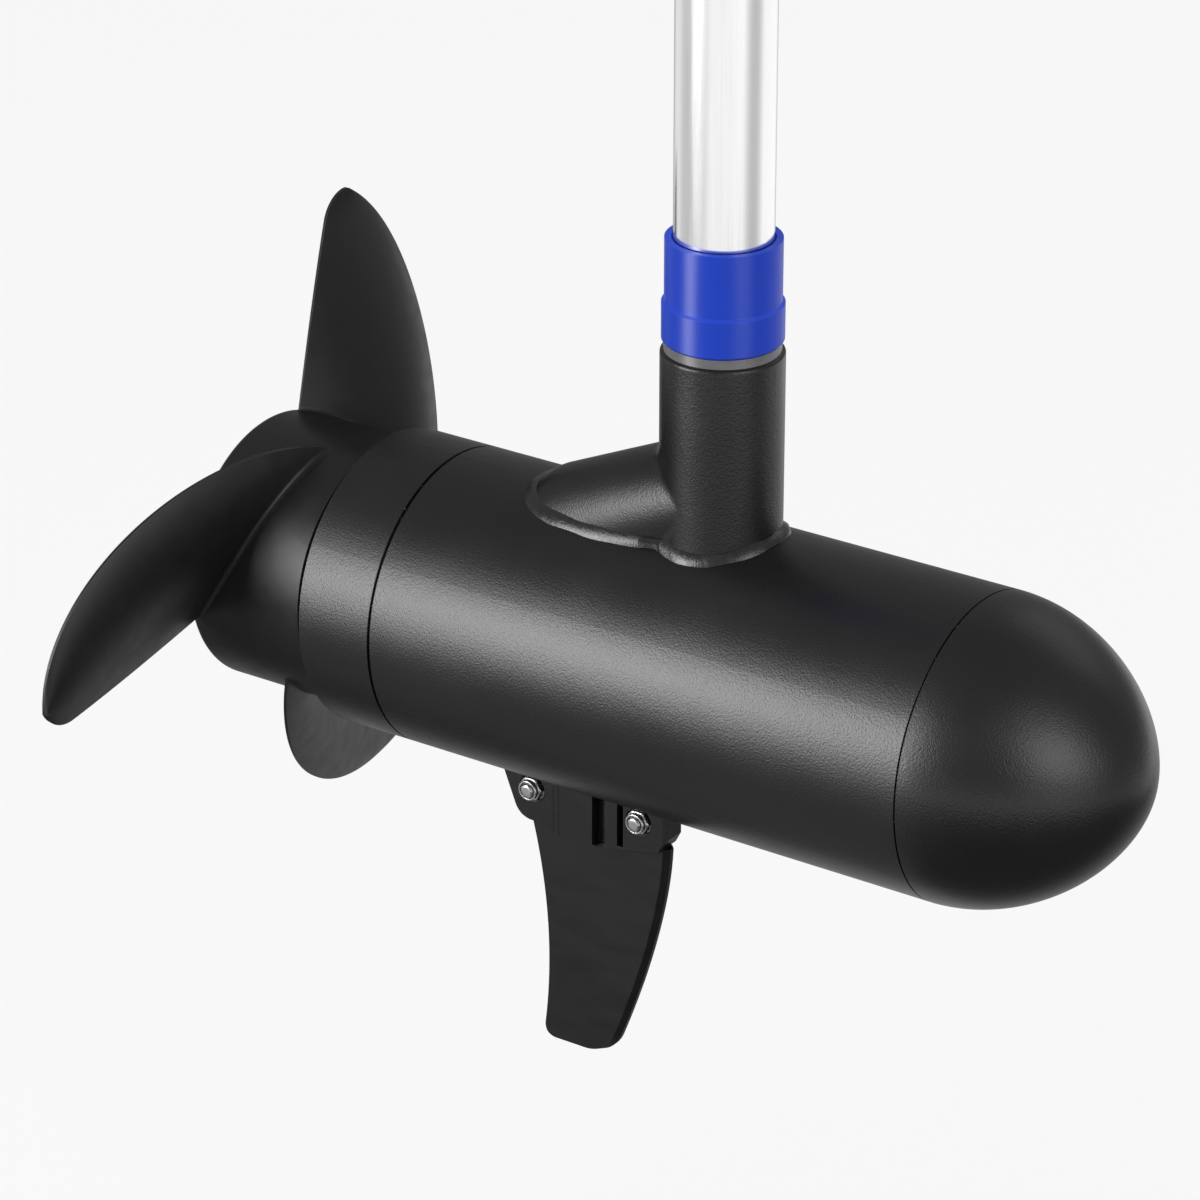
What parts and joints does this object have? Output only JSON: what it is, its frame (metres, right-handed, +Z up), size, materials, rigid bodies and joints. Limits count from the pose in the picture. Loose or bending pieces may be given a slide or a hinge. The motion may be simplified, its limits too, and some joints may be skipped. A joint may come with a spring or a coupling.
{
  "type": "electric outboard motor lower unit",
  "caption": "Sealed electric outboard motor pod on a welded strut and tube, with a turning steering bush, a bladed propeller on its shaft and a bolted skeg.",
  "frame": {"origin": "centre of the column tube's upper end, where the rest of the outboard clamps on", "axes": "+Z up the column tube's axis, +X forward along the motor to its nose, +Y to the side"},
  "size_m": [0.4345, 0.2557, 0.5097],
  "materials": {
    "drawn_aluminium": "drawn, satin bright",
    "blue_nylon": "moulded, satin royal blue",
    "grey_acetal": "moulded, satin mid grey",
    "black_powder_coat": "fine-grained powder coat, satin black",
    "weld_bead": "powder coat over a rippled bead, semi-gloss black",
    "propeller_plastic": "glass-filled nylon, smooth satin black",
    "skeg_plastic": "moulded, matt black",
    "stainless": "polished stainless steel",
    "shaft_steel": "ground",
    "bearing_steel": "ground and polished",
    "bearing_cage": "machined",
    "laminations": "oxide grey, stacked sheets",
    "magnet_nickel": "nickel plated",
    "bobbin_plastic": "moulded, natural",
    "enamelled_copper": "varnished wire",
    "circuit_board": "green solder mask",
    "chip_plastic": "moulded, matt black",
    "capacitor_can": "sleeved can",
    "brass_spacer": "turned",
    "machined_aluminium": "machined",
    "cable_jacket": "extruded, matt black",
    "seal_rubber": "nitrile, matt black"
  },
  "bodies": {
    "lower_unit": {"column_tube": "drawn_aluminium", "thrust_ring": "grey_acetal", "strut": "black_powder_coat", "strut_weld": "weld_bead", "motor_housing": "black_powder_coat", "nose_cone": "black_powder_coat", "rear_cap": "black_powder_coat", "skeg_bracket": "black_powder_coat", "nose_o_ring": "seal_rubber", "rear_cap_o_ring": "seal_rubber", "through_bolt_seals": "seal_rubber", "shaft_seals": "seal_rubber", "cable_grommet": "seal_rubber", "through_bolts": "stainless", "skeg_bolts": "stainless", "skeg_washers": "stainless", "skeg_nuts": "stainless", "bearing_wave_washer": "shaft_steel", "bearing_circlip": "shaft_steel", "front_bearing_outer_race": "bearing_steel", "rear_bearing_outer_race": "bearing_steel", "stator_core": "laminations", "stator_bobbins": "bobbin_plastic", "stator_windings": "enamelled_copper", "hall_sensor_board": "circuit_board", "hall_sensors": "chip_plastic", "sensor_board_spacers": "brass_spacer", "controller_board": "circuit_board", "controller_transistors": "chip_plastic", "controller_capacitors": "capacitor_can", "controller_standoffs": "brass_spacer", "controller_plate": "machined_aluminium", "front_bearing_plate": "machined_aluminium", "power_terminal": "chip_plastic", "phase_leads": "cable_jacket", "supply_cable": "cable_jacket", "cable_connector": "chip_plastic", "skeg": "skeg_plastic"},
    "rotor": {"motor_shaft": "shaft_steel", "rotor_key": "shaft_steel", "rotor_core": "laminations", "rotor_magnets": "magnet_nickel", "rotor_sleeve": "shaft_steel", "front_bearing_inner_race": "bearing_steel", "rear_bearing_inner_race": "bearing_steel", "propeller": "propeller_plastic", "propeller_drive_pin": "stainless", "propeller_washer": "stainless", "propeller_nut": "stainless"},
    "front_ball_set": {"front_bearing_balls": "bearing_steel", "front_bearing_cage": "bearing_cage"},
    "rear_ball_set": {"rear_bearing_balls": "bearing_steel", "rear_bearing_cage": "bearing_cage"},
    "bush": {"steering_bush": "blue_nylon"}
  },
  "joints": [
    {"name": "propeller_spin", "type": "hinge", "parent": "lower_unit", "child": "rotor", "pos_m": [-0.076, 0, -0.315], "axis": [1, 0, 0], "continuous": true},
    {"name": "front_ball_orbit", "type": "hinge", "parent": "lower_unit", "child": "front_ball_set", "pos_m": [-0.0197, 0, -0.315], "axis": [1, 0, 0], "continuous": true},
    {"name": "rear_ball_orbit", "type": "hinge", "parent": "lower_unit", "child": "rear_ball_set", "pos_m": [-0.144, 0, -0.315], "axis": [1, 0, 0], "continuous": true},
    {"name": "bush_turn", "type": "hinge", "parent": "lower_unit", "child": "bush", "pos_m": [0, 0, -0.15], "axis": [0, 0, 1], "continuous": true}
  ],
  "couplings": [
    {"joint": "front_ball_orbit", "follows": "propeller_spin", "ratio": 0.38},
    {"joint": "rear_ball_orbit", "follows": "propeller_spin", "ratio": 0.38}
  ]
}
